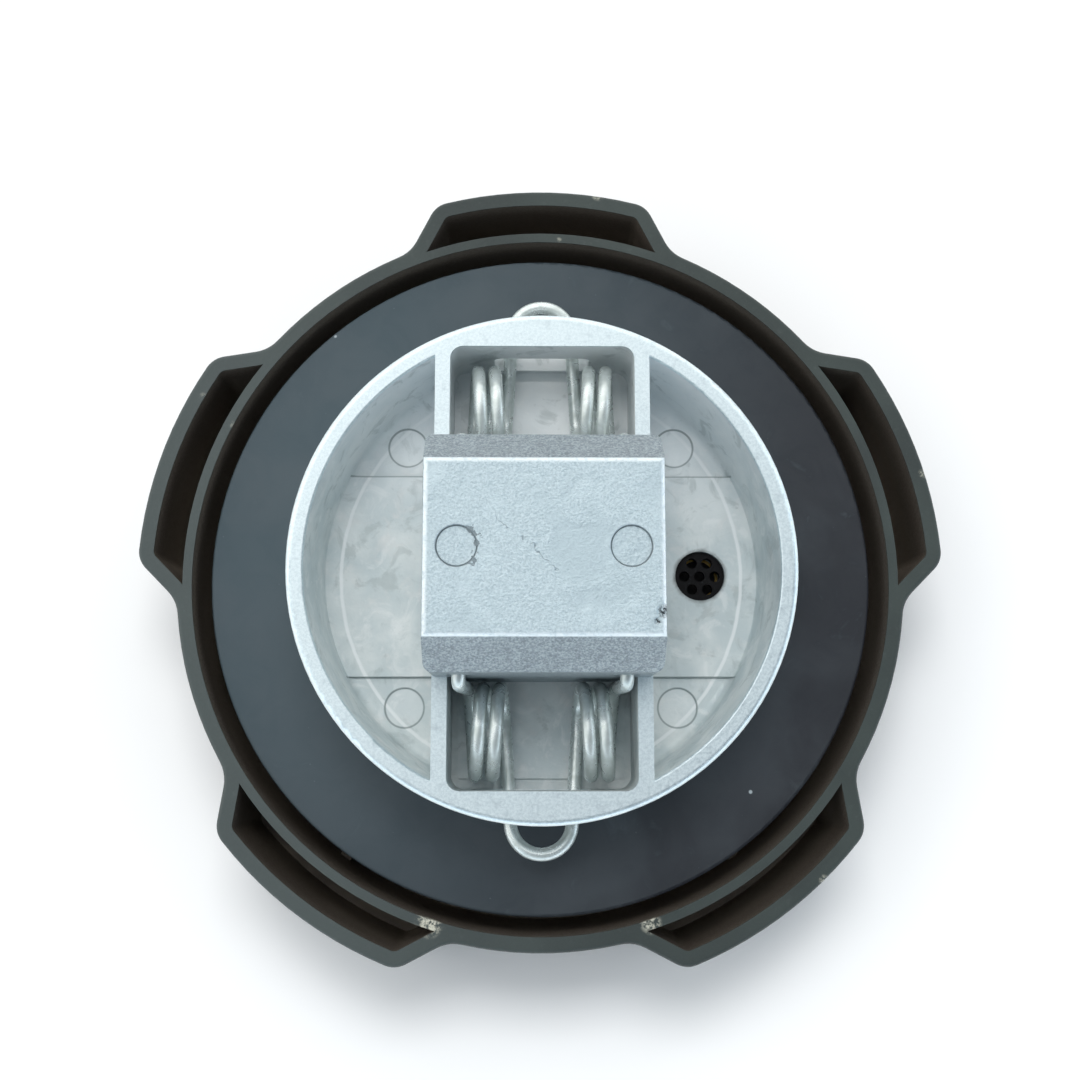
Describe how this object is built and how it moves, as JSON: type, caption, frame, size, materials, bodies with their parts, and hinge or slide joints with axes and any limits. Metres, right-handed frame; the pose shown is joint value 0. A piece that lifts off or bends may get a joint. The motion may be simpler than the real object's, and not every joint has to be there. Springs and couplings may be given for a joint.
{
  "type": "fuel filler cap",
  "caption": "Vented bayonet fuel filler cap with a lobed moulded grip, a die-cast body, sprung wire latches, a flat neck gasket and a two-way vent valve",
  "frame": {"origin": "on the axis of the cap, in the plane of the cover's flat outer face", "axes": "+Z points from the outer face into the filler neck; the well with the two latch springs runs along Y; the vent hole is on the +X side"},
  "size_m": [0.131, 0.127, 0.0705],
  "materials": {
    "moulded_plastic": "satin moulded plastic",
    "diecast_metal": "as cast, with a machined rim",
    "gasket_rubber": "flat moulded rubber",
    "bridge_metal": "as cast, grainy",
    "spring_wire": "bright zinc-plated wire",
    "screw_steel": "zinc plated",
    "black_plastic": "matt black",
    "valve_plastic": "natural plastic",
    "seal_rubber": "black rubber",
    "valve_brass": "turned",
    "filter_felt": "grey felt"
  },
  "bodies": {
    "cap": {"outer_cover": "moulded_plastic", "bayonet_body": "diecast_metal", "neck_gasket": "gasket_rubber", "spring_bridge": "bridge_metal", "cover_screw_1": "screw_steel", "cover_screw_2": "screw_steel", "cover_screw_3": "screw_steel", "cover_screw_4": "screw_steel", "cover_screw_5": "screw_steel", "bridge_screw_1": "screw_steel", "bridge_screw_2": "screw_steel", "vent_strainer": "black_plastic", "valve_housing": "valve_plastic", "valve_seal_ring": "seal_rubber", "pressure_spring": "spring_wire", "valve_cap": "valve_plastic", "dust_filter": "filter_felt"},
    "latch_a": {"latch_spring_a": "spring_wire"},
    "latch_b": {"latch_spring_b": "spring_wire"},
    "pressure_valve": {"pressure_plate": "valve_brass", "vacuum_spring": "spring_wire"},
    "vacuum_valve": {"vacuum_disc": "black_plastic", "vacuum_clip": "screw_steel"}
  },
  "joints": [
    {"name": "latch_a_swing", "type": "hinge", "parent": "cap", "child": "latch_a", "pos_m": [0, 0.0171, 0.0545], "axis": [1, 0, 0], "range_deg": [0, 3.5], "stiffness_Nm_per_rad": 1.5, "springref_deg": -9.74},
    {"name": "latch_b_swing", "type": "hinge", "parent": "cap", "child": "latch_b", "pos_m": [0, -0.0171, 0.0545], "axis": [-1, 0, 0], "range_deg": [0, 3.5], "stiffness_Nm_per_rad": 1.5, "springref_deg": -9.74},
    {"name": "pressure_relief", "type": "slide", "parent": "cap", "child": "pressure_valve", "axis": [0, 0, -1], "range_m": [0, 0.0015], "stiffness_N_per_m": 150, "springref_m": -0.002, "deforming": ["pressure_spring"]},
    {"name": "vacuum_relief", "type": "slide", "parent": "pressure_valve", "child": "vacuum_valve", "axis": [0, 0, 1], "range_m": [0, 0.0009], "stiffness_N_per_m": 40, "springref_m": -0.001, "deforming": ["vacuum_spring"]}
  ]
}
